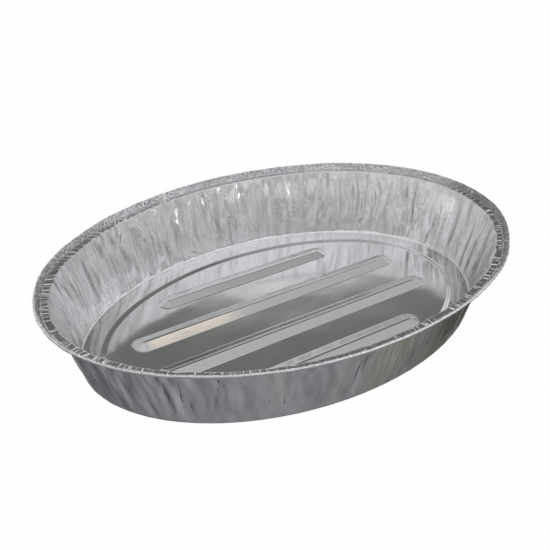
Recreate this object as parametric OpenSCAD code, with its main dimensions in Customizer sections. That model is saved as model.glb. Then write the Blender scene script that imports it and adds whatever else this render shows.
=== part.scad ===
// Oval roasting pan, pressed and gathered from one sheet of aluminium foil.
//
// The sheet is one closed solid: a section is drawn from the floor's edge out to the rolled rim,
// given its thickness, and carried round an ellipse. Pleats, rim wrinkles and a slight waver are
// added to it on the way. Four hollow ribs are then raised in the floor.
// The long axis is X, the pan stands on z = 0 and its middle is the origin.

/* [Overall] */
// Length over the rolled rim
overall_len = 457; // [340:1:560]
// Width over the rolled rim
overall_wid = 328; // [260:1:400]
// Height from the table to the top of the rolled rim
overall_h = 72; // [40:1:110]
// Thickness of the foil
foil_t = 0.12; // [0.08:0.02:0.3]

/* [Wall] */
// Lean of the wall from upright, in degrees
wall_lean = 14.2; // [4:0.2:25]
// Radius of the bend between floor and wall
bend_r = 3; // [1.5:0.5:8]

/* [Floor] */
// Width of the raised band round the floor
band_w = 17.5; // [8:0.5:30]
// Height of the band above the floor panel
band_h = 1; // [0.4:0.1:3]
// Width of the slope from the floor panel up to the band
slope_w = 5.3; // [2:0.1:10]

/* [Ribs] */
// Width of a rib at its foot
rib_w = 22; // [12:0.5:30]
// Width of the flat on a rib's crest
crest_w = 1.6; // [0.6:0.2:4]
// Distance between neighbouring ribs, centre to centre
rib_pitch = 50; // [32:1:54]
// Length of the two inner ribs
inner_rib_len = 294; // [120:1:300]
// Height of the two inner ribs
inner_rib_h = 3.6; // [1:0.1:6]
// Length of the two outer ribs
outer_rib_len = 196; // [60:1:200]
// Height of the two outer ribs
outer_rib_h = 3; // [1:0.1:6]

/* [Rim] */
// Width of the flat ledge outside the wall's top
ledge_w = 7.6; // [4:0.2:14]
// Distance that the riser leans out above the ledge
riser_run = 1.2; // [0.4:0.1:3]
// Height of the rolled edge's top above the ledge
rim_h = 5.8; // [4.4:0.1:10]
// Outer radius of the rolled edge
roll_r = 1.8; // [1:0.1:2.1]
// Depth of the wrinkles across the ledge
ledge_wrinkle = 0.9; // [0.2:0.1:1.6]
// Depth of the wrinkles on the rolled edge
roll_wrinkle = 0.5; // [0:0.1:0.8]

/* [Pleats] */
// Number of pleats round the wall
pleats = 120; // [80:4:132]
// Depth of the deepest pleat
pleat_depth = 2.2; // [0.6:0.1:3.2]
// How far a pleat strays sideways, as a part of the pleat spacing
pleat_stray = 0.16; // [0:0.02:0.2]
// Waver of the wall and rim from a true ellipse
waver = 0.9; // [0:0.1:2]

/* [Hidden] */

// Section sizes, measured on the underside of the sheet
ledge_z = overall_h - rim_h;
wall_rise = ledge_z - band_h;
wall_run = wall_rise * tan(wall_lean);
flange_w = ledge_w + riser_run + 2 * roll_r;
foot_a = overall_len / 2 - flange_w - wall_run;
foot_b = overall_wid / 2 - flange_w - wall_run;
bend_tangent = bend_r * tan((90 - wall_lean) / 2);

// Rolled edge: its middle, and the angles of the points along its curl
roll_mid = [wall_run + flange_w - roll_r, overall_h - roll_r];
roll_angles = [180, 90, 45, 0, -70, -140];

// Heights up the wall, as parts of the wall, where the pleats have their own points
pleat_levels = [0.26, 0.52, 0.78, 1];

// The pleats' own depth, start and stray: one value for each crest and each valley
stations = 2 * pleats;
pleat_size = rands(0.3, 1, stations, 11);
pleat_start = rands(-0.35, 0.45, stations, 23);
stray_foot = rands(-1, 1, stations, 37);
stray_top = rands(-1, 1, stations, 41);
wrinkle_size = rands(0.25, 1, stations, 53);
roll_size = rands(0, 1, stations, 67);
waver_phase = rands(0, 360, 3, 71);

// One point of the section: where it lies, how far up the wall it is, and how it wrinkles.
// kind: 0 smooth, 1 pleated wall, 2 ledge's outer corner, 3 rolled edge
function mark(r, z, up, kind) = [r, z, up, kind];

function section() = concat(
    [
        mark(-band_w - slope_w, 0, 0, 0),
        mark(-band_w, band_h, 0, 0),
        mark(-bend_tangent, band_h, 0, 0),
        mark(bend_tangent * sin(wall_lean), band_h + bend_tangent * cos(wall_lean), 0, 0)
    ],
    [for (f = pleat_levels) mark(f * wall_run, band_h + f * wall_rise, f, 1)],
    [mark(wall_run + ledge_w, ledge_z, 1, 2)],
    [for (a = roll_angles) mark(roll_mid[0] + (roll_r - foil_t) * cos(a),
                                roll_mid[1] + (roll_r - foil_t) * sin(a), 1, 3)]
);

// Left-hand normal of the section between two of its points
function normal(p, q) = let (d = [q[0] - p[0], q[1] - p[1]]) [-d[1], d[0]] / norm(d);

// Step from a point on the underside to the same point on the upper side, mitred at the corner
function through(s, k) = let (
    n1 = normal(s[max(k - 1, 0)], s[max(k, 1)]),
    n2 = normal(s[min(k, len(s) - 2)], s[min(k + 1, len(s) - 1)])
) foil_t * (n1 + n2) / (1 + n1 * n2);

// Pleats: crests and valleys in turn, each fading out at its own height
function fade(up, i) = min(max((up - pleat_start[i]) / 0.5, 0), 1);
function pleat(up, i) = (i % 2 == 0 ? 1 : -1) * pleat_depth / 2 * pleat_size[i] * fade(up, i);
function stray(up, i) = pleat_stray * (stray_foot[i] * (1 - up) + stray_top[i] * up);

// Waver of the wall: nil at the ends and at the middles of the sides, so the overall sizes hold
function sway(up, t) = waver * up * pow(sin(2 * t), 2)
    * (sin(3 * t + waver_phase[0]) + sin(7 * t + waver_phase[1]) + sin(12 * t + waver_phase[2])) / 3;

// Added to a point of the section at station i: outward and upward
function crumple(m, i) =
    m[3] == 1 ? [pleat(m[2], i), 0] :
    m[3] == 2 ? [0, (i % 2 == 0 ? 1 : -1) * ledge_wrinkle / 2 * wrinkle_size[i]] :
    m[3] == 3 ? [0, -roll_wrinkle * roll_size[i]] :
    [0, 0];

// Smooth and rolled rings have one point a pleat, pleated rings have two
function is_fine(m) = m[3] == 1 || m[3] == 2;
function ring_point(m, off, i) = let (
    t = (i + (m[3] == 1 ? 2 * stray(m[2], i) : 0)) * 360 / stations,
    add = crumple(m, i),
    r = m[0] + off[0] + add[0] + sway(m[2], t)
) [(foot_a + r) * cos(t), (foot_b + r) * sin(t), m[1] + off[1] + add[1]];
function ring(m, off) = [for (i = [0 : is_fine(m) ? 1 : 2 : stations - 1]) ring_point(m, off, i)];

// Triangles between ring a and the next ring b, whose first points have the numbers pa and pb
function next(i, n) = (i + 1) % n;
function band_same(pa, pb, n) = [for (i = [0 : n - 1]) let (j = next(i, n))
    each [[pa + i, pb + i, pb + j], [pa + i, pb + j, pa + j]]];
function band_split(pa, pb, n) = [for (i = [0 : n - 1]) let (j = next(i, n), m = 2 * i + 1)
    each [[pa + i, pb + 2 * i, pb + m], [pa + i, pb + m, pa + j], [pa + j, pb + m, pb + 2 * j]]];
function band_merge(pa, pb, n) = [for (i = [0 : n - 1]) let (j = next(i, n), m = 2 * i + 1)
    each [[pa + 2 * i, pb + i, pa + m], [pa + m, pb + i, pb + j], [pa + m, pb + j, pa + 2 * j]]];
function band(pa, na, pb, nb) =
    na == nb ? band_same(pa, pb, na) :
    na < nb ? band_split(pa, pb, na) :
    band_merge(pa, pb, nb);

// The whole sheet: up the underside, round the rolled edge's lip and back down the upper side
module pressed_sheet() {
    s = section();
    last = len(s) - 1;
    rings = concat(
        [for (k = [0 : last]) ring(s[k], [0, 0])],
        [for (k = [last : -1 : 0]) ring(s[k], through(s, k))]
    );
    starts = [for (k = 0, n = 0; k < len(rings); n = n + len(rings[k]), k = k + 1) n];
    floor_under = [for (i = [0 : pleats - 1]) i];
    floor_upper = [for (i = [pleats - 1 : -1 : 0]) starts[len(rings) - 1] + i];
    sides = [for (k = [0 : len(rings) - 2])
        each band(starts[k], len(rings[k]), starts[k + 1], len(rings[k + 1]))];
    polyhedron([for (r = rings) each r], concat([floor_under, floor_upper], sides));
}

// A long rib with a ridged top and rounded ends. A skin raises its sides by that much
module rib(length, height, skin) {
    foot_w = rib_w + skin * (rib_w - crest_w) / height;
    hull()
        for (side = [-1, 1])
            translate([side * (length - rib_w) / 2, 0, 0])
                cylinder(d1 = foot_w, d2 = crest_w, h = height + skin, $fn = 28);
}

module ribs(skin) {
    for (side = [-1, 1]) {
        translate([0, side * rib_pitch / 2, 0]) rib(inner_rib_len, inner_rib_h, skin);
        translate([0, side * rib_pitch * 1.5, 0]) rib(outer_rib_len, outer_rib_h, skin);
    }
}

// The ribs rise from the sheet and are hollow underneath
module foil_pan() {
    color("silver")
        difference() {
            union() {
                pressed_sheet();
                ribs(foil_t);
            }
            ribs(0);
        }
}

foil_pan();
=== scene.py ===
"""Oval foil roasting pan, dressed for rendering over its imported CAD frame.

The pan is one pressed and gathered sheet. It is shown as three closed shells of thin foil that meet
edge to edge: the pressed floor, the gathered wall and the rolled rim. The long axis is X, the pan
stands on z = 0 and its middle is the origin. Sizes in the classes are in millimetres.
"""

import logging
import math
from abc import ABC, abstractmethod
from dataclasses import dataclass, field
from enum import Enum

import bpy
import numpy as np
from mathutils import Matrix, Vector


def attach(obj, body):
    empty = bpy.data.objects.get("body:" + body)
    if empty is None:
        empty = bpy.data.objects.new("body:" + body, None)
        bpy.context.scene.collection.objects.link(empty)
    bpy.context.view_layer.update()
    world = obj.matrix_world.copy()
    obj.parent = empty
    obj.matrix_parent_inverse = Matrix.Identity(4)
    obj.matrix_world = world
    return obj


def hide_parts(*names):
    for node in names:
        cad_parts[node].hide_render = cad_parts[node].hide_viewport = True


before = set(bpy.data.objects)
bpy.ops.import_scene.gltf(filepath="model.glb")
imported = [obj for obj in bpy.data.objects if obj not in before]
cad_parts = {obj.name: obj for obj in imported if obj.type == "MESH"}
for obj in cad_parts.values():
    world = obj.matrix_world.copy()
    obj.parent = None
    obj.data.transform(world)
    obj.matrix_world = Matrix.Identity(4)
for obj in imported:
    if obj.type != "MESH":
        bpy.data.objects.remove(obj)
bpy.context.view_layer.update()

MM = 0.001
SHARP_ANGLE = math.radians(50)
# Order of a quad's corners that turns its other side up
TURNED = [0, 3, 2, 1]

Array = np.ndarray
Triple = tuple[float, float, float]

log = logging.getLogger("foil_pan")


class Side(Enum):
    """The two sides of the sheet, by the number of their material slot."""

    INSIDE = 0
    OUTSIDE = 1


# Fields of creases and drifts


def ease(f: Array) -> Array:
    """Smooth step of a fraction f: 3f^2 - 2f^3, held at 0 and 1 outside."""
    f = np.clip(f, 0.0, 1.0)
    return f * f * (3.0 - 2.0 * f)


def drift(u: Array, v: Array, across: int, up: int, seed: int) -> Array:
    """Smooth random field from -1 to 1 that closes on itself round the pan.

    A table holds one random value at each of across x (up + 1) crossings. A point takes the four
    values about it, blended by 3f^2 - 2f^3 along each axis.

    Args:
        u: Place round the pan, one turn being 1.
        v: Place up the section, 0 to 1.
        across: Table columns in one turn.
        up: Table steps from v = 0 to v = 1.
        seed: Seed of the table.

    Returns:
        The field at each point.
    """
    table = np.random.default_rng(seed).uniform(-1.0, 1.0, (across, up + 1))
    cu, cv = np.floor(u * across), np.clip(np.floor(v * up), 0, up - 1)
    fu, fv = ease(u * across - cu), ease(v * up - cv)
    i, j = cu.astype(int) % across, cv.astype(int)
    k = (i + 1) % across
    low = table[i, j] * (1 - fu) + table[k, j] * fu
    high = table[i, j + 1] * (1 - fu) + table[k, j + 1] * fu
    return low * (1 - fv) + high * fv


def folds(u: Array, v: Array, count: int, levels: int, seed: int, skew: float = 0.35) -> Array:
    """Straight-sided folds side by side, from -1 to 1.

    In cell i the height is a_i(v) * min(f / q_i, (1 - f) / (1 - q_i)), where f is the place across
    the cell and q_i its peak. The height a_i is random at each level and eased between levels, so
    a fold grows, fades or turns over on its way up.

    Args:
        u: Place round the pan, one turn being 1, already bent as the folds should run.
        v: Place up the section, 0 to 1.
        count: Folds in one turn.
        levels: Steps of height from v = 0 to v = 1.
        seed: Seed of the tables.
        skew: How far a peak strays from the middle of its fold.

    Returns:
        The height of the folds at each point.
    """
    rng = np.random.default_rng(seed)
    peak = rng.uniform(0.5 - skew, 0.5 + skew, count)
    size = (count, levels + 1)
    tall = rng.uniform(0.25, 1.0, size) * rng.choice([-1.0, 1.0], size)
    cell = np.floor(u * count)
    f = u * count - cell
    i = cell.astype(int) % count
    q = peak[i]
    j = np.clip(np.floor(v * levels), 0, levels - 1).astype(int)
    g = ease(v * levels - j)
    a = tall[i, j] * (1 - g) + tall[i, j + 1] * g
    return a * np.minimum(f / q, (1 - f) / (1 - q))


def ridges(u: Array, count: int, width: float, seed: int) -> Array:
    """Narrow raised ridges at irregular places, from 0 to 1.

    In cell i the height is a_i * max(0, 1 - |f - q_i| / w_i), with w_i about the given width.

    Args:
        u: Place round the pan, one turn being 1.
        count: Cells in one turn.
        width: Half width of a ridge as a part of its cell.
        seed: Seed of the tables.

    Returns:
        The height of the ridges at each point.
    """
    rng = np.random.default_rng(seed)
    place = rng.uniform(0.25, 0.75, count)
    tall = rng.uniform(0.15, 1.0, count)
    half = width * rng.uniform(0.7, 1.5, count)
    cell = np.floor(u * count)
    f = u * count - cell
    i = cell.astype(int) % count
    return tall[i] * np.clip(1.0 - np.abs(f - place[i]) / half[i], 0.0, 1.0)


# Meshes


def cells(number: Array) -> Array:
    """Quads between neighbours in a grid of point numbers, first along its rows."""
    corners = number[:-1, :-1], number[:-1, 1:], number[1:, 1:], number[1:, :-1]
    return np.stack(corners, -1).reshape(-1, 4)


def across_foil(line: Array, step: int) -> Array:
    """Quads from a line of inside points to the outside points, whose numbers are a step on."""
    return np.stack([line[1:], line[:-1], line[:-1] + step, line[1:] + step], -1)


@dataclass
class Shell:
    """A thin shell round the pan, from a grid of points on its inside and one on its outside.

    crush says for each row how crushed its foil is, 0 to 1. shade holds one grid for each side: how
    much painted shade its foil gets, or painted light below 0. The last bare_rows rows of the
    inside look like the outside.
    """

    name: str
    inside: Array
    outside: Array
    crush: Array
    shade: tuple[Array, Array]
    bare_rows: int = 0

    def build(self) -> bpy.types.Object:
        """Makes the mesh: both grids, the outside turned round, and a narrow edge all about.

        Returns:
            The object.
        """
        rows, cols = self.inside.shape[:2]
        points = np.concatenate([self.inside.reshape(-1, 3), self.outside.reshape(-1, 3)])
        number = np.arange(rows * cols).reshape(rows, cols)
        wrap = np.concatenate([number, number[:, :1]], 1)
        step = rows * cols
        inner = cells(wrap)[:, TURNED]
        quads = np.concatenate([inner, cells(wrap) + step, across_foil(wrap[0, ::-1], step),
                                across_foil(wrap[-1], step)])
        sides = np.full(len(quads), Side.OUTSIDE.value, np.int32)
        sides[: len(inner) - self.bare_rows * cols] = Side.INSIDE.value
        crush = np.tile(np.repeat(self.crush, cols), 2)
        shade = np.concatenate([grid.ravel() for grid in self.shade])
        return furnish(self.name, points, quads.tolist(), sides, crush, shade)


def furnish(name: str, points: Array, faces: list, sides: Array, crush: Array,
            shade: Array) -> bpy.types.Object:
    """Makes a sheet's object, smooth but for its sharp edges, and puts it in the scene.

    Args:
        name: The object's name.
        points: Its points in millimetres.
        faces: Its faces, as the numbers of their points.
        sides: Number of the side that each face is on.
        crush: How crushed the foil is at each point, 0 to 1.
        shade: Painted shade at each point, or painted light below 0.

    Returns:
        The object, with its place in its mesh.
    """
    mesh = bpy.data.meshes.new(name)
    mesh.from_pydata((points * MM).tolist(), [], faces)
    mesh.polygons.foreach_set("use_smooth", np.ones(len(faces), dtype=bool))
    mesh.set_sharp_from_angle(angle=SHARP_ANGLE)
    for _ in Side:
        mesh.materials.append(None)
    mesh.polygons.foreach_set("material_index", sides)
    for attribute, values in (("crush", crush), ("shade", shade)):
        data = mesh.attributes.new(attribute, "FLOAT", "POINT").data
        data.foreach_set("value", values.astype(np.float32))
    obj = bpy.data.objects.new(name, mesh)
    bpy.context.scene.collection.objects.link(obj)
    return obj


def thicken(grid: Array, foil: float) -> Array:
    """The outer side of a sheet that closes on itself round the pan.

    Every point moves by the foil's thickness along its normal, which is the cross product of the
    differences round the pan and up the section.

    Args:
        grid: Points of the inside, rows x columns x 3.
        foil: Thickness.

    Returns:
        Points of the outside.
    """
    up = np.gradient(grid, axis=0)
    along = (np.roll(grid, -1, 1) - np.roll(grid, 1, 1)) / 2
    normal = np.cross(along, up)
    size = np.linalg.norm(normal, axis=2, keepdims=True)
    return grid + foil * (normal / np.maximum(size, 1e-9))


# The pan


@dataclass(frozen=True)
class PanPlan:
    """Sizes that the floor, the wall and the rim share.

    round_top is the length of the wall's top edge, mean_top its mean distance from the middle.
    """

    length: float = 457.0
    width: float = 328.0
    round_top: float = 1165.0
    mean_top: float = 180.0
    foil: float = 0.12
    foot_a: float = 198.6
    foot_b: float = 135.3
    top_a: float = 216.0
    top_b: float = 151.4
    band_z: float = 1.12
    ledge_z: float = 66.3
    bend: float = 1.5
    shoulder: float = 0.5

    def round(self, count: int) -> tuple[Array, Array]:
        """Angles that part the wall's top into equal lengths.

        Args:
            count: Parts in one turn.

        Returns:
            The angles, and the place of each round the pan, one turn being 1.
        """
        t = np.linspace(0.0, 2 * np.pi, 7201)
        step = np.hypot(np.diff(np.cos(t)) * self.top_a, np.diff(np.sin(t)) * self.top_b)
        run = np.concatenate([[0.0], np.cumsum(step)])
        u = np.arange(count) / count
        return np.interp(u, run / run[-1], t), u

    def sway(self, t: Array) -> Array:
        """Slow waver of the rim, sin^2(2t) times three sines: nil at the four outermost points."""
        waves = 0.45 * np.sin(3 * t + 0.7) + 0.3 * np.sin(7 * t + 2.1) + 0.25 * np.sin(11 * t + 4.0)
        return np.sin(2 * t) ** 2 * waves


class FoilPart(ABC):
    """A part of the sheet, which its own class shapes."""

    @abstractmethod
    def build(self) -> bpy.types.Object:
        """Makes the part's object."""

    def dress(self, inside: "FoilFinish", outside: bpy.types.Material) -> None:
        """Builds the part and gives it its two finishes and its place in the frame.

        Args:
            inside: Finish of the side that faces into the pan.
            outside: Material of the other side.
        """
        piece = self.build()
        piece.data.materials[Side.INSIDE.value] = inside.make()
        piece.data.materials[Side.OUTSIDE.value] = outside
        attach(piece, "root")
        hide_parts("foil_pan")
        triangles = sum(len(face.vertices) - 2 for face in piece.data.polygons)
        log.info("%s: %d triangles", piece.name, triangles)


@dataclass
class GatheredWall(FoilPart):
    """The leaning wall, gathered into folds that run up it."""

    plan: PanPlan
    columns: int = 1200
    rows: int = 36
    bend_rows: int = 5
    t: Array = field(init=False)
    inside: Array = field(init=False)
    outside: Array = field(init=False)
    slant: Array = field(init=False)
    sharp: Array = field(init=False)

    def _relief(self, u: Array, v: Array) -> Array:
        """Height of the folds over the wall's plain face, positive outward.

        Broad folds, narrow folds and fine puckers are added. Each runs along a place bent by slow
        drifts, is patchy, and fades towards the floor.

        Args:
            u: Place round the pan, one turn being 1.
            v: Place up the wall, 0 to 1.

        Returns:
            The height in millimetres.
        """
        lean = 0.0045 * drift(u, v, 26, 1, 11) * v + 0.0020 * drift(u, v, 70, 2, 12)
        broad = drift(u + lean, v, 150, 2, 13)
        lean2 = 0.006 * drift(u, v, 34, 2, 14) * v + 0.0018 * drift(u, v, 120, 3, 15)
        narrow = folds(u + lean2, v, 210, 2, 16, 0.42)
        lean3 = 0.0022 * drift(u, v, 160, 4, 17) + 0.004 * drift(u, v, 40, 2, 18) * v
        fine = folds(u + lean3, v, 560, 5, 19, 0.3)
        patch = 0.5 + 0.5 * drift(u, v, 60, 3, 21)
        slow = drift(u, v, 22, 1, 22)
        near_foot = ease(v / 0.3)
        body = 0.25 + 0.75 * near_foot
        near_top = ease((v - 0.5) / 0.4)
        pinch = 1.0 - 0.45 * ease((v - 0.86) / 0.14)
        relief = (1.2 * broad * body
                  + 0.75 * narrow * (0.3 + 0.7 * patch) * body
                  + (0.05 + 0.14 * near_top) * fine
                  + 0.35 * slow * near_foot)
        return relief * pinch - self._creases(u, v)

    def _creases(self, u: Array, v: Array) -> Array:
        """Depth of single sharp creases, each a straight groove that leans a little.

        Crease k has the depth d_k * max(0, 1 - |u - u_k(v)| / w_k) between its two ends.

        Args:
            u: Place round the pan, one turn being 1.
            v: Place up the wall, 0 to 1.

        Returns:
            The depth in millimetres.
        """
        rng = np.random.default_rng(31)
        count = 120
        place, lean = rng.uniform(0, 1, count), rng.uniform(-0.012, 0.012, count)
        low = rng.uniform(0.05, 0.6, count)
        high = low + rng.uniform(0.2, 0.5, count)
        half = rng.uniform(0.9, 1.4, count) / self.plan.round_top
        deep = rng.uniform(0.4, 1.0, count)
        total = np.zeros_like(u)
        for k in range(count):
            gap = np.abs((u - place[k] - lean[k] * (v - low[k]) + 0.5) % 1.0 - 0.5)
            ends = ease((v - low[k]) / 0.06) * ease((high[k] - v) / 0.06)
            total = np.maximum(total, deep[k] * ends * np.clip(1.0 - gap / half[k], 0, 1))
        return total

    def shape(self) -> None:
        """Works out both sides: a small bend, then the straight wall with its folds."""
        plan = self.plan
        self.t, u = plan.round(self.columns)
        run = plan.top_a - plan.foot_a
        rise = plan.ledge_z - plan.shoulder - plan.band_z
        lean = math.atan2(run, rise)
        cut = plan.bend * math.tan((math.pi / 2 - lean) / 2)
        turn = np.linspace(0.0, math.pi / 2 - lean, self.bend_rows)[:-1]
        bend_r = -cut + plan.bend * np.sin(turn)
        bend_z = plan.band_z + plan.bend * (1 - np.cos(turn))
        share = np.linspace(cut * math.cos(lean) / rise, 1.0, self.rows)
        up = np.concatenate([np.zeros(len(turn)), share])
        r_a = np.concatenate([bend_r, share * run])
        r_b = np.concatenate([bend_r, share * (plan.top_b - plan.foot_b)])
        z = np.concatenate([bend_z, plan.band_z + share * rise])
        uu, vv = np.meshgrid(u, up)
        relief = self._relief(uu, vv) * (vv > 0) + plan.sway(self.t)[None] * ease(vv)
        self.slant = np.clip((np.roll(relief, -3, 1) - np.roll(relief, 3, 1)) / 2.4, -1.0, 1.0)
        self.sharp = np.clip((np.roll(relief, -1, 1) - np.roll(relief, 1, 1)) / 0.9, -1.0, 1.0)
        self.inside = np.stack([
            (plan.foot_a + r_a[:, None] + relief * math.cos(lean)) * np.cos(self.t)[None],
            (plan.foot_b + r_b[:, None] + relief * math.cos(lean)) * np.sin(self.t)[None],
            np.repeat(z[:, None], self.columns, 1) - relief * math.sin(lean) * (1 - vv),
        ], -1)
        self.outside = thicken(self.inside, plan.foil)

    def top_edge(self, t: Array, side: Side) -> Array:
        """Points on the wall's top edge at any angles, on the straight lines between its columns.

        Args:
            t: Angles.
            side: The side of the sheet.

        Returns:
            The points, one to an angle.
        """
        line = (self.inside if side is Side.INSIDE else self.outside)[-1]
        full = np.concatenate([self.t, [2 * np.pi]])
        ring = np.concatenate([line, line[:1]])
        return np.stack([np.interp(t, full, ring[:, k]) for k in range(3)], -1)

    def _shade(self) -> tuple[Array, Array]:
        """Painted light and shade of the foil, on each side.

        Folds that slant one way get painted shade and those that slant the other way painted light,
        as if lit from one side. The outside also gets painted shade at both ends, above all at the
        front right.

        Returns:
            The inside's grid and the outside's.
        """
        along, nearer = self.outside[..., 0], -self.outside[..., 1]
        left = 0.15 * ease((-along - 90.0) / 100.0)
        right = ease((along - 10.0) / 110.0) * (0.2 + 0.5 * ease((nearer - 20.0) / 70.0))
        return (0.34 * self.sharp + 0.14 * self.slant,
                0.34 * self.slant + 0.16 * self.sharp + (left + right))

    def build(self) -> bpy.types.Object:
        """Makes the wall's object. Its foil is less crushed at the foot."""
        self.shape()
        crush = ease(np.linspace(0.0, 1.0, len(self.inside)) / 0.15)
        return Shell("gathered_wall", self.inside, self.outside, crush, self._shade()).build()


@dataclass
class RolledRim(FoilPart):
    """The flat ledge outside the wall's top, the riser and the edge rolled outward over it."""

    plan: PanPlan
    wall: GatheredWall
    columns: int = 2160
    ledge_w: float = 7.6
    riser_run: float = 1.2
    roll_r: float = 1.8
    top_z: float = 71.9
    bare_rows: int = 5
    rightward: tuple[float, float] = (0.83, -0.55)

    @property
    def _middle(self) -> tuple[float, float]:
        """Middle of the roll: its distance outward and its height."""
        return self.ledge_w + self.riser_run + self.roll_r, self.top_z - self.roll_r

    def _section(self) -> tuple[Array, Array, Array]:
        """Plain section of the rim, from the wall's top out to the roll's end.

        Returns:
            Distance outward, height, and how far along the section each point lies, 0 to 1 over the
            ledge, 1 to 2 up the riser and 2 to 3 round the roll.
        """
        mid_r, mid_z = self._middle
        ledge = np.array([0.0, 0.03, 0.07, 0.11, 0.3, 0.55, 0.8, 0.96])
        riser = np.array([0.1, 0.4, 0.7])
        turn = np.radians([180, 155, 130, 105, 80, 55, 30, 5, -25, -60, -100, -140])
        base = self.plan.ledge_z
        r = np.concatenate([ledge * self.ledge_w, self.ledge_w + riser * self.riser_run,
                            mid_r + self.roll_r * np.cos(turn)])
        drop = self.plan.shoulder * np.clip(1.0 - ledge / 0.09, 0.0, 1.0) ** 2
        z = np.concatenate([base - drop, base + riser * (mid_z - base),
                            mid_z + self.roll_r * np.sin(turn)])
        way = np.concatenate([ledge, 1 + riser, np.linspace(2.0, 3.0, len(turn))])
        return r, z, way

    def _wrinkles(self, u: Array, way: Array) -> tuple[Array, Array, Array]:
        """Lift of the ledge, crimp of the riser and roll, and slow dents of the whole rim.

        The ledge carries narrow ridges of two kinds, the roll folds and ridges on bent paths.

        Args:
            u: Place round the pan, one turn being 1.
            way: Place along the section, 0 to 3.

        Returns:
            The lift and the dent in millimetres, and the crimp from about -1 to 1.
        """
        bent = u + 0.0016 * drift(u, way / 3, 210, 3, 41)
        ledge = np.clip(1.0 - np.abs(way - 0.5) / 0.55, 0, 1) ** 0.35 * (way < 1.08)
        lift = (1.1 * ridges(bent, 180, 0.10, 42) + 0.9 * ridges(bent + 0.002, 110, 0.07, 43)
                + 0.03 * folds(bent, way / 3, 420, 3, 44)) * ledge
        crimp = (0.7 * folds(bent, way / 3, 420, 9, 45, 0.4) + 0.5 * ridges(bent, 330, 0.2, 46)
                 + 0.4 * folds(bent, way / 3, 760, 9, 47)) * ease((way - 0.9) / 0.3)
        dent = -0.5 * np.abs(drift(u, way * 0, 46, 1, 48)) ** 1.5 * ease(way / 1.5)
        return lift, crimp, dent

    def _shade(self, inside: Array, way: Array, lift: Array) -> Array:
        """Painted shade of the foil: at the picture's two ends, and in the hollows between the
        ledge's ridges.

        Args:
            inside: Points of the inside.
            way: Place along the section, 0 to 3.
            lift: Height of the ledge's ridges.

        Returns:
            The painted shade.
        """
        across = self.rightward[0] * inside[..., 0] + self.rightward[1] * inside[..., 1]
        left, right = ease((-across - 160.0) / 30.0), ease((across - 160.0) / 30.0)
        near = np.maximum(left + right, ease((-inside[..., 1] - 60.0) / 60.0))
        hollow = np.clip(1.0 - lift / 0.35, 0.0, 1.0) * (way < 0.98)
        return (0.12 * (left + right) + 0.3 * near * hollow
                + (0.54 * right + 0.02 * left) * ease((way - 0.9) / 0.3))

    def build(self) -> bpy.types.Object:
        """Makes the rim's object: its section carried round the pan, with its wrinkles.

        Ledge wrinkles lift the ledge, the crimp shrinks the roll towards its middle, and dents move
        the whole rim inward. The ledge's first row lies on the wall's top edge, and the rows up to
        the ledge's middle follow it less and less.

        Returns:
            The object.
        """
        plan = self.plan
        t, u = plan.round(self.columns)
        r, z, way = self._section()
        uu, ww = np.meshgrid(u, way)
        lift, crimp, dent = self._wrinkles(uu, ww)
        turn_r, turn_z = r - self._middle[0], z - self._middle[1]
        size = np.maximum(np.hypot(turn_r, turn_z), 1e-6)
        shrink = 0.5 * crimp + 0.3
        on_roll = way[:, None] >= 2
        off_r = np.where(on_roll, -shrink * (turn_r / size)[:, None], 0.6 * shrink * (ww > 1))
        off_z = np.where(on_roll, -shrink * (turn_z / size)[:, None] - 0.05, 0.0) + lift
        inner = self.wall.top_edge(t, Side.INSIDE)
        sway = plan.sway(t)[None]
        push = off_r + dent + sway
        edge_r = np.hypot(inner[:, 0] / plan.top_a, inner[:, 1] / plan.top_b) - 1.0
        stray = (1.0 - ease(ww / 0.5)) * (edge_r[None] - sway / plan.mean_top)
        x = (plan.top_a + r[:, None] + push + stray * plan.top_a) * np.cos(t)[None]
        y = (plan.top_b + r[:, None] + push + stray * plan.top_b) * np.sin(t)[None]
        inside = np.stack([x, y, z[:, None] + off_z], -1)
        inside[0] = inner
        outside = thicken(inside, plan.foil)
        outside[0] = self.wall.top_edge(t, Side.OUTSIDE)
        crush = np.interp(way, [0.0, 0.1, 0.8, 1.1, 2.3, 2.5, 3.0],
                          [0.15, 0.04, 0.04, 1.0, 1.0, 0.12, 0.12])
        shade = self._shade(inside, ww, lift)
        return Shell("rolled_rim", inside, outside, crush, (shade, shade * 0.0),
                     self.bare_rows).build()


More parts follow.
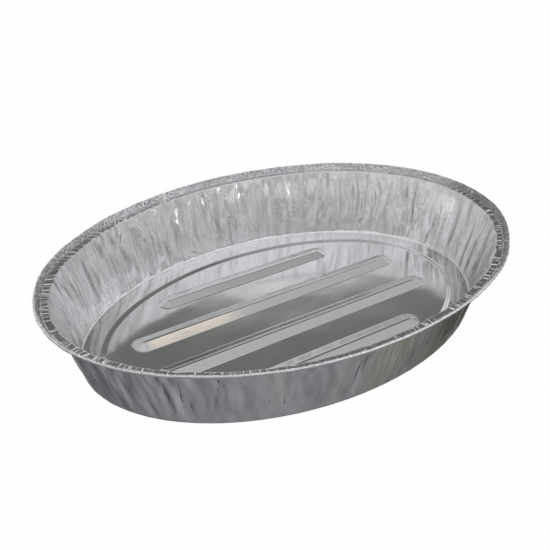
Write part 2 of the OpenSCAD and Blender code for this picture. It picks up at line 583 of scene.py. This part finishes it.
@dataclass
class PressedFloor(FoilPart):
    """The floor: a flat panel with four ribs, a slope, and the raised band about it.

    The grid's lines and columns lie close over the ribs. The close columns run between two places,
    long_ends for the long ribs and short_ends for the short ones, and go from the one to the other
    across the change in y. The ribs' close lines end at ribs_y.
    """

    plan: PanPlan
    panel_a: float = 176.6
    panel_b: float = 110.8
    slope_a: float = 181.8
    slope_b: float = 116.4
    rib_ys: tuple[float, ...] = (-75.0, -25.0, 25.0, 75.0)
    rib_long: float = 294.0
    rib_short: float = 196.0
    rib_tall: float = 3.6
    rib_low: float = 3.0
    rib_w: float = 22.0
    crest_w: float = 2.6
    long_ends: tuple[float, float] = (131.0, 149.5)
    short_ends: tuple[float, float] = (82.0, 100.5)
    change: tuple[float, float] = (38.0, 62.0)
    ribs_y: float = 87.6

    def _lines(self) -> Array:
        """Heights of the grid's straight lines along y: close over the ribs, wider between.

        Returns:
            The values of y from end to end, without the two outermost points.
        """
        over = np.array([0.6, 1.2, 1.6, 2.4, 3.8, 5.2, 6.6, 8.0, 9.4, 10.4, 11.0, 11.6])
        over = np.concatenate([-over[::-1], over])
        between = np.linspace(12.6, 37.4, 18)
        rows = [y + over for y in self.rib_ys] + [y + between for y in self.rib_ys[:3]]
        tip = np.arcsin(self.ribs_y / self.panel_b)
        rows.append(self.panel_b * np.sin(np.linspace(tip, np.pi / 2, 26)[:-1]))
        rows.append(-rows[-1])
        return np.unique(np.round(np.concatenate(rows), 4))

    def _relief(self, x: Array, y: Array) -> Array:
        """Height of the ribs over the panel.

        A rib is min(1, (w/2 - d) / (w/2 - c/2)) of its height, where d is the distance to its
        middle line, w its width and c its crest's width.

        Args:
            x: Place along the pan.
            y: Place across the pan.

        Returns:
            The height in millimetres.
        """
        total = np.zeros_like(x)
        for number, mid in enumerate(self.rib_ys):
            outer = number in (0, 3)
            half = (self.rib_short if outer else self.rib_long) / 2 - self.rib_w / 2
            tall = self.rib_low if outer else self.rib_tall
            d = np.hypot(np.maximum(np.abs(x) - half, 0.0), y - mid)
            climb = (self.rib_w / 2 - d) / (self.rib_w / 2 - self.crest_w / 2)
            total += tall * np.clip(climb, 0.0, 1.0)
        return total

    def _undulation(self, x: Array, y: Array) -> Array:
        """Slow waver of the pressed floor, with small dents towards its ends.

        Args:
            x: Place along the pan.
            y: Place across the pan.

        Returns:
            The height in millimetres.
        """
        u, v = x / self.plan.length + 0.5, y / self.plan.width + 0.5
        slow = 0.14 * drift(u, v, 7, 5, 61) + 0.08 * drift(u, v, 17, 12, 62)
        quick = 0.03 * drift(u, v, 44, 30, 63)
        ends = ease((np.abs(x) - 100.0) / 60.0)
        return 0.26 + slow + quick * (0.3 + 0.7 * ends)

    def build(self) -> bpy.types.Object:
        """Makes the floor's object.

        Half a line of the panel has three stretches of even columns: from the middle to the close
        columns, the close columns, and from there to the panel's edge. The other half mirrors it.

        Returns:
            The object.
        """
        ys = self._lines()
        reach = self.panel_a * np.sqrt(1.0 - (ys / self.panel_b) ** 2)
        near = ease((np.abs(ys) - self.change[0]) / (self.change[1] - self.change[0]))
        start, stop = ((1 - near) * inner + near * outer
                       for inner, outer in zip(self.long_ends, self.short_ends))
        first, last = np.minimum(start, reach * 0.72), np.minimum(stop, reach * 0.9)
        mid = np.linspace(0.0, 1.0, 27)[:-1]
        tip = np.linspace(0.0, 1.0, 20)[:-1]
        far = np.linspace(0.0, 1.0, 13)
        half = np.concatenate([
            mid[None] * first[:, None],
            first[:, None] + tip[None] * (last - first)[:, None],
            last[:, None] + far[None] * (reach - last)[:, None]], 1)
        x = np.concatenate([-half[:, :0:-1], half], 1)
        y = np.repeat(ys[:, None], x.shape[1], 1)
        return self._join(x, y)

    def _join(self, x: Array, y: Array) -> bpy.types.Object:
        """Adds the slope and band to the panel's lines and closes the two tips.

        Args:
            x: The panel's grid along the pan.
            y: The panel's grid across the pan.

        Returns:
            The object.
        """
        plan = self.plan
        lean = math.atan2(plan.top_a - plan.foot_a, plan.ledge_z - plan.band_z)
        cut = plan.bend * math.tan((math.pi / 2 - lean) / 2)
        share = np.array([0.0, 0.06, 0.12, 0.5, 0.88, 0.94, 1.0,
                          1.06, 1.5, 2.1, 2.8, 3.4, 3.8, 4.0])
        slope = np.clip(share, 0, 1)
        band = np.clip(share - 1.0, 0, 3) / 3.0
        edge_a = (self.panel_a + slope * (self.slope_a - self.panel_a)
                  + band * (plan.foot_a - cut - self.slope_a))
        edge_b = (self.panel_b + slope * (self.slope_b - self.panel_b)
                  + band * (plan.foot_b - cut - self.slope_b))
        step = np.clip((share - 0.09) / 0.82, 0.0, 1.0)
        rise = plan.foil + (plan.band_z - plan.foil + 0.25 * ease((4.0 - share) / 1.5)) * step
        right = np.arcsin(np.clip(y[:, -1] / self.panel_b, -1, 1))
        t = np.concatenate([[-np.pi / 2], right, [np.pi / 2], np.pi - right[::-1]])
        ring = np.stack([edge_a[:, None] * np.cos(t)[None], edge_b[:, None] * np.sin(t)[None],
                         np.repeat(rise[:, None], len(t), 1)], -1)
        fade = ease((4.0 - share) / 1.2)[:, None]
        ring[..., 2] += self._undulation(ring[..., 0], ring[..., 1]) * fade
        z = plan.foil + self._relief(x, y) + self._undulation(x, y)
        panel = np.stack([x, y, z], -1)
        # Painted shade on the ribs' slopes that face away and on the far part of the slope up to
        # the band.
        fall = -np.gradient(self._relief(x, y), axis=0) / np.gradient(y, axis=0)
        beyond = ease((np.sin(t) - 0.25) / 0.3) * ease((np.cos(t) + 0.5) / 0.4)
        on_slope = np.interp(share, [0.0, 0.12, 0.88, 1.0], [0.0, 1.0, 1.0, 0.0])
        shade = 0.5 * on_slope[:, None] * beyond
        return self._mesh(panel, ring, 0.4 * np.clip(fall / 0.3, 0.0, 1.0), shade)

    def _mesh(self, panel: Array, ring: Array, rib_shade: Array, shade: Array) -> bpy.types.Object:
        """Sews the panel's grid to the ring about it and gives the sheet its thickness.

        Args:
            panel: Points of the panel, lines x columns x 3.
            ring: Points of the slope and band, rings x columns x 3, the first on the panel's edge.
            rib_shade: Painted shade at the panel's points, on the ribs' far slopes.
            shade: Painted shade at the ring's points.

        Returns:
            The object.
        """
        rows, cols = panel.shape[:2]
        rings, count = ring.shape[:2]
        number = np.arange(rows * cols).reshape(rows, cols)
        tips = rows * cols + np.arange(2)
        loop = np.concatenate([[tips[0]], number[:, -1], [tips[1]], number[::-1, 0]])
        rest = rows * cols + 2 + np.arange((rings - 1) * count).reshape(rings - 1, count)
        lines = np.concatenate([loop[None], rest])
        lines = np.concatenate([lines, lines[:, :1]], 1)
        quads = np.concatenate([cells(number), cells(lines)[:, TURNED]])
        low, high = number[0], number[-1]
        fans = np.concatenate([
            np.stack([np.full(cols - 1, tips[0]), low[1:], low[:-1]], -1),
            np.stack([np.full(cols - 1, tips[1]), high[:-1], high[1:]], -1)])
        top = np.concatenate([panel.reshape(-1, 3), ring[0, [0, rows + 1]],
                              ring[1:].reshape(-1, 3)])
        below = top - np.array([0.0, 0.0, self.plan.foil])
        step = len(top)
        faces = [*quads.tolist(), *fans.tolist(), *(quads[:, ::-1] + step).tolist(),
                 *(fans[:, ::-1] + step).tolist(), *across_foil(lines[-1], step).tolist()]
        sides = np.full(len(faces), Side.OUTSIDE.value, np.int32)
        sides[: len(quads) + len(fans)] = Side.INSIDE.value
        painted_shade = np.concatenate([rib_shade.ravel(), shade[0, [0, rows + 1]], shade[1:].ravel()])
        return furnish("pressed_floor", np.concatenate([top, below]), faces, sides,
                       np.repeat([1.0, 0.2], step), np.tile(painted_shade, 2))


# Finishes


class Value:
    """A node's output. Arithmetic on values adds the Math nodes for it."""

    def __init__(self, book: "NodeBook", socket: bpy.types.NodeSocket) -> None:
        """Keeps the node tree and the socket."""
        self.book, self.socket = book, socket

    def _math(self, operation: str, first: object, second: object) -> "Value":
        """Adds a Math node and returns its result."""
        return self.book.add("ShaderNodeMath", {"operation": operation}, {0: first, 1: second})

    def __add__(self, other: object) -> "Value":
        """This plus a value or number."""
        return self._math("ADD", self, other)

    __radd__ = __add__

    def __sub__(self, other: object) -> "Value":
        """This less a value or number."""
        return self._math("SUBTRACT", self, other)

    def __rsub__(self, other: object) -> "Value":
        """A number less this."""
        return self._math("SUBTRACT", other, self)

    def __mul__(self, other: object) -> "Value":
        """This times a value or number."""
        return self._math("MULTIPLY", self, other)

    __rmul__ = __mul__

    def ramp(self, start: float, stop: float) -> "Value":
        """Goes from 0 to 1 as this goes from the start to the stop."""
        return self.book.add("ShaderNodeMapRange", {},
                             {"Value": self, "From Min": start, "From Max": stop})

    def noise(self, scale: float, detail: float = 2.0, rough: float = 0.5,
              out: str = "Fac") -> "Value":
        """Plain noise at this place."""
        return self.book.add("ShaderNodeTexNoise", {}, {"Vector": self, "Scale": scale,
                                                        "Detail": detail, "Roughness": rough}, out)

    def vector(self, operation: str, other: Triple, out: str = "Vector") -> "Value":
        """Vector Math on this and a fixed vector."""
        return self.book.add("ShaderNodeVectorMath", {"operation": operation},
                             {0: self, 1: other}, out)

    def mix(self, first: object, second: Triple, blend: str = "MIX") -> "Value":
        """Mixes two colours: the first where this is 0, the second where it is 1."""
        return self.book.add("ShaderNodeMix", {"data_type": "RGBA", "blend_type": blend},
                             {"Factor": self, 6: first, 7: (*second, 1.0)}, 2)


class NodeBook:
    """A node tree in the making."""

    def __init__(self, tree: bpy.types.NodeTree) -> None:
        """Empties the tree."""
        self.tree = tree
        tree.nodes.clear()

    def add(self, kind: str, settings: dict, inputs: dict, out: object = 0) -> Value:
        """Adds a node.

        Args:
            kind: The node's type.
            settings: Its settings, set before its sockets. "stops" holds a ramp's places and
                colours.
            inputs: Values or links of its sockets, by name or number.
            out: Name or number of the socket that is returned.

        Returns:
            The chosen output as a value.
        """
        node = self.tree.nodes.new(kind)
        for name, setting in settings.items():
            if name == "stops":
                ramp = node.color_ramp
                while len(ramp.elements) < len(setting):
                    ramp.elements.new(0.5)
                for element, (place, colour) in zip(ramp.elements, setting):
                    element.position = place
                    element.color = (*colour, 1.0)
            else:
                setattr(node, name, setting)
        for name, given in inputs.items():
            if isinstance(given, Value):
                self.tree.links.new(given.socket, node.inputs[name])
            else:
                node.inputs[name].default_value = given
        return Value(self, node.outputs[out]) if node.outputs else Value(self, None)


@dataclass(frozen=True)
class FoilFinish:
    """Bare aluminium foil: mirror-like metal with faint tints, thin creases and small facets.

    Depths are in millimetres, scales are cells to a metre. bright times the cool tint is the colour
    of painted highlights beside creases, the shade colour at the end times the tint that of painted
    shade in creases, between facets and in cloudy mottle that is partly random tone, and edge_tint
    is what is left of the glare at a grazing angle.
    """

    name: str
    cool: Triple
    warm: Triple
    smooth: float
    rough: float
    stretch: Triple = (1.0, 1.0, 1.0)
    crease_scale: float = 150.0
    crease_depth: float = 0.0
    crease_width: float = 0.01
    swirl: float = 0.012
    facet_scale: float = 230.0
    facet_depth: float = 0.0
    grain_scale: float = 500.0
    grain_depth: float = 0.0
    sheen_scale: float = 26.0
    sheen_along: float = 0.0
    # Strengths of painted shade in crease lines and of painted highlights beside them.
    line_shade: float = 0.0
    line_light: float = 0.0
    bright: float = 1.1
    edge_tint: float = 1.0
    tent_shade: float = 0.0
    mottle_scale: float = 90.0
    mottle_edge: float = 0.14
    mottle_shade: float = 0.0
    # Colour that painted shade multiplies the tint by.
    painted_shade: Triple = (0.3, 0.3, 0.3)

    def _vein(self, noise: Value, level: float, width: float) -> Value:
        """Thin line where a noise passes a level, 1 on the line and 0 beside it."""
        gap = noise.book.add("ShaderNodeMath", {"operation": "ABSOLUTE"}, {0: noise - level})
        return noise.book.add("ShaderNodeMapRange", {"interpolation_type": "SMOOTHSTEP"},
                              {"Value": gap, "From Min": width, "From Max": 0.0})

    def _creases(self, place: Value) -> tuple[Value, Value, Value]:
        """Relief, painted shade and painted light of the foil.

        The place is bent by slow noise and stretched. On it lie two sets of creases kept to
        patches, each a dark line of painted shade with a bright line of painted highlight close
        beside it, then tents over small cells, darker towards their edges as painted shade between
        facets, ridged noise as grain and cloudy streaks that darken the colour, partly random tone
        and partly painted shade.
        All are as strong as the foil is crushed. The mesh's own painted shade is then added above
        0, and its painted light below.

        Args:
            place: Object coordinates.

        Returns:
            The relief in millimetres, the painted shade and the painted light.
        """
        book = place.book
        swirl = place.noise(42.0, out="Color")
        bend = (self.swirl, self.swirl, 1.6 * self.swirl)
        bent = book.add("ShaderNodeVectorMath", {"operation": "MULTIPLY_ADD"},
                        {0: swirl, 1: bend, 2: place}, "Vector")
        drawn = book.add("ShaderNodeMapping", {}, {"Vector": bent, "Scale": self.stretch})
        spread = bent.noise(50.0)
        dark, light = 0.0, 0.0
        for finer, low, high in ((1.0, 0.38, 0.54), (1.9, 0.56, 0.42)):
            noise = drawn.noise(self.crease_scale * finer, detail=0.0)
            patch = spread.ramp(low, high)
            wide = self.crease_width * finer ** 0.5
            dark = patch * self._vein(noise, 0.5, wide) + dark
            light = patch * self._vein(noise, 0.5 + 1.9 * wide, wide) + light
        tent = book.add("ShaderNodeTexVoronoi", {"feature": "F1"},
                        {"Vector": drawn, "Scale": self.facet_scale}, "Distance")
        grain = book.add("ShaderNodeTexNoise", {"noise_type": "RIDGED_MULTIFRACTAL"},
                         {"Vector": drawn, "Scale": self.grain_scale, "Detail": 2.0,
                          "Roughness": 0.5, "Lacunarity": 2.1, "Offset": 1.0, "Gain": 1.4}, "Fac")
        cloud = drawn.noise(self.mottle_scale, 4.0, 0.65)
        mottle = cloud.ramp(0.5 - self.mottle_edge, 0.5 + self.mottle_edge)
        grown = book.add("ShaderNodeAttribute", {"attribute_name": "crush"}, {}, "Fac")
        relief = ((light - dark) * self.crease_depth + tent * self.facet_depth
                  + grain * self.grain_depth)
        # Painted shade: dark crease lines, the tents' edges and cloudy mottle, which is partly
        # random tone.
        shade_and_mottle = dark * self.line_shade + tent * self.tent_shade + mottle * self.mottle_shade
        # The mesh's shade adds painted shade above 0 and painted light below; the bright lines are
        # painted highlights.
        shade = book.add("ShaderNodeAttribute", {"attribute_name": "shade"}, {}, "Fac")
        return (grown * relief, grown * shade_and_mottle + shade.ramp(0.0, 1.0),
                grown * (light * self.line_light) + shade.ramp(0.0, -1.0))

    def make(self) -> bpy.types.Material:
        """Builds the material.

        Base colour drifts from the cool to the warm tint, and roughness from smooth to rough, in
        streaks along the stretch. sheen_along adds to the drift for each metre along the pan.

        Returns:
            The material.
        """
        material = bpy.data.materials.new(self.name)
        material.use_nodes = True
        book = NodeBook(material.node_tree)
        place = book.add("ShaderNodeTexCoord", {}, {}, "Object")
        streak = book.add("ShaderNodeMapping", {}, {"Vector": place, "Scale": self.stretch})
        tint = streak.noise(self.sheen_scale, 3.0, 0.6)
        along = book.add("ShaderNodeSeparateXYZ", {}, {"Vector": place}, "X")
        mask = (tint + along * self.sheen_along).ramp(0.38, 0.62)
        colour = mask.mix((*self.cool, 1.0), self.warm)
        relief, shade_and_mottle, glow = self._creases(place)
        # Painted shade darkens the colour, then painted light mixes it towards the highlight
        # colour.
        colour = shade_and_mottle.mix(colour, self.painted_shade, "MULTIPLY")
        colour = glow.mix(colour, tuple(min(self.bright * c, 1.0) for c in self.cool))
        bump = book.add("ShaderNodeBump", {}, {"Height": relief, "Strength": 1.0, "Distance": MM},
                        "Normal")
        rough = self.smooth + (self.rough - self.smooth) * (0.5 * mask + 0.5 * tint)
        shader = book.add("ShaderNodeBsdfPrincipled", {},
                          {"Base Color": colour, "Metallic": 1.0, "Roughness": rough,
                           "Specular Tint": (*[self.edge_tint] * 3, 1.0), "Normal": bump}, "BSDF")
        book.add("ShaderNodeOutputMaterial", {}, {"Surface": shader})
        return material


# In these finishes line_shade and tent_shade set painted shade, line_light and bright painted
# highlights, and mottle_shade cloudy darkening that is partly random tone and partly painted shade.
INSIDE_FLOOR = FoilFinish("foil_floor", (0.78, 0.78, 0.785), (0.79, 0.79, 0.785), 0.09, 0.15,
                          stretch=(0.5, 1.0, 1.0), facet_scale=110.0, facet_depth=0.006,
                          grain_scale=60.0, grain_depth=0.006)
INSIDE_WALL = FoilFinish("foil_wall", (0.88, 0.88, 0.885), (0.94, 0.94, 0.93), 0.11, 0.18,
                         stretch=(1.0, 1.0, 0.07), crease_scale=130.0, crease_depth=0.06,
                         swirl=0.005, facet_scale=170.0, facet_depth=0.12, grain_scale=300.0,
                         grain_depth=0.01, sheen_scale=100.0, line_shade=0.35, line_light=0.7,
                         bright=1.13, mottle_scale=100.0, mottle_shade=0.12)
INSIDE_RIM = FoilFinish("foil_rim", (0.84, 0.84, 0.85), (0.86, 0.86, 0.85), 0.06, 0.11,
                        crease_scale=300.0, crease_depth=0.15, crease_width=0.03,
                        facet_scale=430.0, facet_depth=0.85, grain_scale=600.0,
                        grain_depth=0.16, line_shade=0.9, line_light=1.0, bright=1.19,
                        tent_shade=0.1, mottle_scale=520.0, mottle_edge=0.05,
                        mottle_shade=0.6)
# The outside's dark base colour is painted shade, a dark sheet where the foil only mirrors darker
# surroundings; sheen_along paints a reflected tint, cool to the left and warm to the right.
OUTSIDE = FoilFinish("foil_outside", (0.266, 0.266, 0.287), (0.288, 0.283, 0.258), 0.18, 0.30,
                     stretch=(1.0, 1.0, 0.2), crease_scale=40.0, crease_depth=0.05,
                     swirl=0.008, facet_scale=120.0, facet_depth=0.7, grain_scale=420.0,
                     grain_depth=0.05, sheen_scale=24.0, sheen_along=1.8, line_shade=0.08,
                     bright=1.6, edge_tint=0.38, tent_shade=0.12, mottle_scale=60.0,
                     mottle_shade=0.24)


# The studio


@dataclass
class Studio:
    """Camera, floor, room and lamps. Angles are in degrees, distance and lift in millimetres.

    The patches and behind are directions in the room. plain_white is the floor's share of white.
    """

    bearing: float = -33.64
    height: float = 34.58
    roll: float = 0.45
    distance: float = 741.8
    lift: float = 1.0
    lens: float = 50.93
    shift: tuple[float, float] = (-0.02164, 0.06536)
    floor_colour: Triple = (0.9, 0.9, 0.9)
    plain_white: float = 0.985
    large_patch: Triple = (0.40, 0.72, 0.53)
    left_patch: Triple = (-0.62, 0.60, 0.50)
    low_patch: Triple = (0.76, 0.64, 0.05)
    low_colour: Triple = (0.955, 0.96, 0.98)
    behind: Triple = (-0.80, -0.60, 0.0)
    behind_colour: Triple = (0.66, 0.66, 0.68)

    def camera(self) -> None:
        """Sets the camera at the photograph's viewing angle.

        It looks back along (sin b cos h, -cos b cos h, sin h) for the bearing b and height h, and
        is rolled about that line.
        """
        b, h, roll = (math.radians(a) for a in (self.bearing, self.height, self.roll))
        back = Vector((math.sin(b) * math.cos(h), -math.cos(b) * math.cos(h), math.sin(h)))
        right = Vector((math.cos(b), math.sin(b), 0.0))
        up = back.cross(right)
        across = right * math.cos(roll) + up * math.sin(roll)
        upward = up * math.cos(roll) - right * math.sin(roll)
        turn = Matrix((across, upward, back)).transposed().to_4x4()
        data = bpy.data.cameras.new("camera")
        data.sensor_width, data.lens = 36.0, self.lens
        data.shift_x, data.shift_y = self.shift
        data.clip_start, data.clip_end = 0.01, 50.0
        camera = bpy.data.objects.new("camera", data)
        camera.matrix_world = Matrix.Translation(back * self.distance * MM
                                                 + Vector((0, 0, self.lift * MM))) @ turn
        bpy.context.scene.collection.objects.link(camera)
        bpy.context.scene.camera = camera

    def floor(self) -> None:
        """Lays a plain white floor that keeps the pan's shadow.

        Seen by the camera or mirrored in the foil, it is mostly a plain white of strength 1, and
        for the rest what the lamps give it.
        """
        mesh = bpy.data.meshes.new("studio_floor")
        mesh.from_pydata([(-8, -8, 0), (8, -8, 0), (8, 8, 0), (-8, 8, 0)], [], [(0, 1, 2, 3)])
        floor = bpy.data.objects.new("studio_floor", mesh)
        material = bpy.data.materials.new("pale_floor")
        material.use_nodes = True
        book = NodeBook(material.node_tree)
        shader = book.add("ShaderNodeBsdfPrincipled", {},
                          {"Base Color": (*self.floor_colour, 1.0), "Roughness": 1.0,
                           "Specular IOR Level": 0.0}, "BSDF")
        white = book.add("ShaderNodeEmission", {},
                         {"Color": (1.0, 1.0, 1.0, 1.0), "Strength": 1.0})
        rays = book.add("ShaderNodeLightPath", {}, {}).socket.node.outputs
        camera, glossy, through = (Value(book, rays[f"Is {kind} Ray"])
                                   for kind in ("Camera", "Glossy", "Transmission"))
        share = (camera + glossy + through) * self.plain_white
        mixed = book.add("ShaderNodeMixShader", {}, {0: share, 1: shader, 2: white}, "Shader")
        book.add("ShaderNodeOutputMaterial", {}, {"Surface": mixed})
        mesh.materials.append(material)
        bpy.context.scene.collection.objects.link(floor)

    def _shaded_sky(self, way: Value) -> Value:
        """Colour of the upper room: dark in three patches, bright between them.

        A ramp reads the distance to the nearest patch. The large patch is what the flat floor
        mirrors, the one at the left what the ledge's left end does, and the low one at the right
        what the band does there.

        Args:
            way: Direction in the room.

        Returns:
            The colour.
        """
        oval = way.vector("SUBTRACT", self.large_patch).vector("MULTIPLY", (1.0, 0.8, 1.15))
        reach = oval.vector("LENGTH", (0.0, 0.0, 0.0), "Value")
        for patch, scale in ((self.left_patch, 1.5), (self.low_patch, 1.8)):
            other = way.vector("DISTANCE", patch, "Value") * scale
            reach = way.book.add("ShaderNodeMath", {"operation": "MINIMUM"}, {0: reach, 1: other})
        return way.book.add("ShaderNodeValToRGB", {"stops": [
            (0.0, (0.17, 0.17, 0.165)), (0.36, (0.17, 0.17, 0.165)), (0.40, (0.20, 0.20, 0.195)),
            (0.449, (0.35, 0.35, 0.35)), (0.52, (0.48, 0.48, 0.48)), (0.70, (0.53, 0.53, 0.54)),
            (0.80, (0.74, 0.747, 0.785)), (0.88, (0.85, 0.857, 0.90)),
            (1.0, (0.88, 0.887, 0.93))]}, {"Fac": reach}, "Color")

    def _low_room(self, way: Value) -> Value:
        """Share of the room's bright wall: low down, and higher straight beyond the pan.

        Args:
            way: Direction in the room.

        Returns:
            The share, which ends towards the right.
        """
        rise, aside = (way.vector("DOT_PRODUCT", axis, "Value")
                       for axis in ((0.0, 0.0, 1.0), (1.0, 0.0, 0.0)))
        beyond = (rise + aside * 0.16).ramp(0.627, 0.604) * aside.ramp(0.33, 0.42)
        low = way.book.add("ShaderNodeMath", {"operation": "MAXIMUM"},
                           {0: rise.ramp(0.46, 0.34), 1: beyond})
        return low * aside.ramp(0.64, 0.52)

    def world(self) -> None:
        """Fills the room with a plain gradient: sky, low bright wall and a duller part behind."""
        world = bpy.data.worlds.new("studio_room")
        bpy.context.scene.world = world
        world.use_nodes = True
        book = NodeBook(world.node_tree)
        way = book.add("ShaderNodeTexCoord", {}, {}, "Generated")
        room = self._low_room(way).mix(self._shaded_sky(way), self.low_colour)
        behind = way.vector("DOT_PRODUCT", self.behind, "Value").ramp(0.30, 0.62)
        room = behind.mix(room, self.behind_colour)
        back = book.add("ShaderNodeBackground", {}, {"Color": room, "Strength": 1.0})
        book.add("ShaderNodeOutputWorld", {}, {"Surface": back})

    def lamp(self, name: str, away: Triple, size: tuple[float, float], power: float,
             colour: Triple, level: bool = False) -> None:
        """Hangs a flat soft lamp that faces the pan, or the floor straight below it.

        Args:
            name: The lamp's name.
            away: Its place in metres.
            size: Its two widths in metres.
            power: Its power in watts.
            colour: Its colour.
            level: Whether it hangs level.
        """
        data = bpy.data.lights.new(name, "AREA")
        data.shape, data.size, data.size_y = "RECTANGLE", *size
        data.energy, data.color = power, colour
        lamp = bpy.data.objects.new(name, data)
        lamp.location = away
        if not level:
            lamp.rotation_mode = "QUATERNION"
            lamp.rotation_quaternion = Vector(away).to_track_quat("Z", "Y")
        bpy.context.scene.collection.objects.link(lamp)

    def build(self) -> None:
        """Sets up the whole studio, with plain Standard colours."""
        bpy.context.scene.view_settings.view_transform = "Standard"
        self.camera()
        self.floor()
        self.world()
        self.lamp("front_lamp", (0.80, -1.60, 0.32), (0.26, 0.12), 0.3, (1.0, 1.0, 1.0))
        self.lamp("warm_lamp", (0.43, 0.335, 1.38), (0.26, 0.09), 0.07, (1.0, 0.75, 0.50),
                  level=True)


def main() -> None:
    """Builds the studio and the pan's pieces in order."""
    logging.basicConfig(level=logging.INFO, format="%(name)s %(message)s")
    Studio().build()
    plan = PanPlan()
    outside = OUTSIDE.make()
    wall = GatheredWall(plan)
    wall.dress(INSIDE_WALL, outside)
    RolledRim(plan, wall).dress(INSIDE_RIM, outside)
    PressedFloor(plan).dress(INSIDE_FLOOR, outside)


if __name__ == "__main__":
    main()
